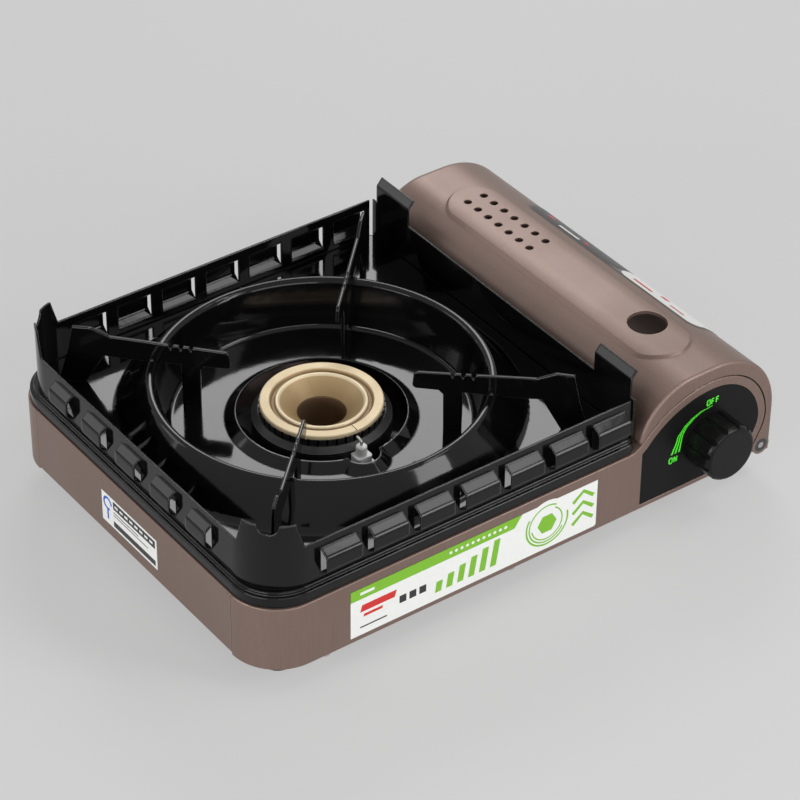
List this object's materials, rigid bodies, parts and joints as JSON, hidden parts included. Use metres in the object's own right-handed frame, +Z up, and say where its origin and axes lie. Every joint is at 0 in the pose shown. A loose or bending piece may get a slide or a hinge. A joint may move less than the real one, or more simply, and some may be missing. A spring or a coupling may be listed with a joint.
{
  "type": "butane cassette stove",
  "caption": "Portable tabletop gas stove with a louvred wind guard, pot supports in a black tray, a hinged lid over a cartridge bay, and an ignition knob.",
  "frame": {"origin": "middle of the whole stove's footprint, on the surface that the rubber feet stand on", "axes": "+X towards the cartridge side, +Y towards the back, away from the knob, +Z up"},
  "size_m": [0.341, 0.268, 0.1043],
  "materials": {
    "painted_case": "satin metallic paint over a brushed grain",
    "black_fascia": "satin black",
    "knob_plastic": "fine textured black",
    "inner_plastic": "moulded black",
    "steel": "bright zinc plate",
    "zinc_sheet": "galvanised sheet",
    "black_enamel": "gloss black enamel",
    "cast_alloy": "as cast",
    "die_cast": "die cast",
    "heat_plate": "bright rolled sheet",
    "brass": "turned",
    "brass_cap": "satin turned",
    "magnet": "nickel grey ferrite",
    "ceramic": "glazed ceramic",
    "lead_jacket": "silicone sleeve",
    "seal_rubber": "moulded nitrile",
    "feet_rubber": "moulded"
  },
  "bodies": {
    "body": {"body_shell": "painted_case", "front_panel": "painted_case", "rear_panel": "painted_case", "fascia_plate": "black_fascia", "spindle_bush": "inner_plastic", "piezo_unit": "inner_plastic", "lid_hinge_pins": "steel", "hinge_bracket_front": "zinc_sheet", "hinge_bracket_rear": "zinc_sheet", "burner_bowl": "cast_alloy", "burner_head": "cast_alloy", "burner_cap": "brass_cap", "mixing_tube": "cast_alloy", "gas_jet": "brass", "gas_pipe": "brass", "burner_bracket": "zinc_sheet", "bracket_screws": "steel", "heat_shield": "zinc_sheet", "heat_panel": "heat_plate", "regulator_body": "die_cast", "diaphragm_cover": "zinc_sheet", "cartridge_seat": "die_cast", "magnet_ring": "magnet", "nozzle_seal": "seal_rubber", "regulator_bracket": "zinc_sheet", "regulator_screws": "steel", "partition": "zinc_sheet", "cradle_front": "zinc_sheet", "cradle_rear": "zinc_sheet", "electrode_insulator": "ceramic", "electrode_needle": "steel", "electrode_bracket": "zinc_sheet", "ignition_lead": "lead_jacket", "rubber_feet": "feet_rubber", "case_screws": "steel"},
    "lid": {"cartridge_lid": "painted_case", "lid_hinge_bushes": "inner_plastic"},
    "knob": {"control_knob": "knob_plastic", "valve_spindle": "steel", "ignition_cam": "inner_plastic"},
    "plunger": {"piezo_plunger": "inner_plastic"},
    "tray": {"drip_tray": "black_enamel", "wind_guard": "black_enamel", "heat_wall": "black_enamel", "tray_rivets": "steel", "pot_support_front_left": "black_enamel", "pot_support_front_right": "black_enamel", "pot_support_back_left": "black_enamel", "pot_support_back_right": "black_enamel"}
  },
  "joints": [
    {"name": "lid_hinge", "type": "hinge", "parent": "body", "child": "lid", "pos_m": [0.164, 0, 0.0205], "axis": [0, 1, 0], "range_deg": [0, 100]},
    {"name": "knob_turn", "type": "hinge", "parent": "body", "child": "knob", "pos_m": [0.1245, -0.115, 0.0431], "axis": [0, -1, 0], "range_deg": [0, 95]},
    {"name": "piezo_press", "type": "slide", "parent": "body", "child": "plunger", "axis": [-1, 0, 0], "range_m": [0, 0.005]},
    {"name": "tray_lift", "type": "slide", "parent": "body", "child": "tray", "axis": [0, 0, 1], "range_m": [0, 0.045]}
  ],
  "couplings": [
    {"joint": "piezo_press", "follows": "knob_turn", "m_per_rad": 0.0030155}
  ]
}
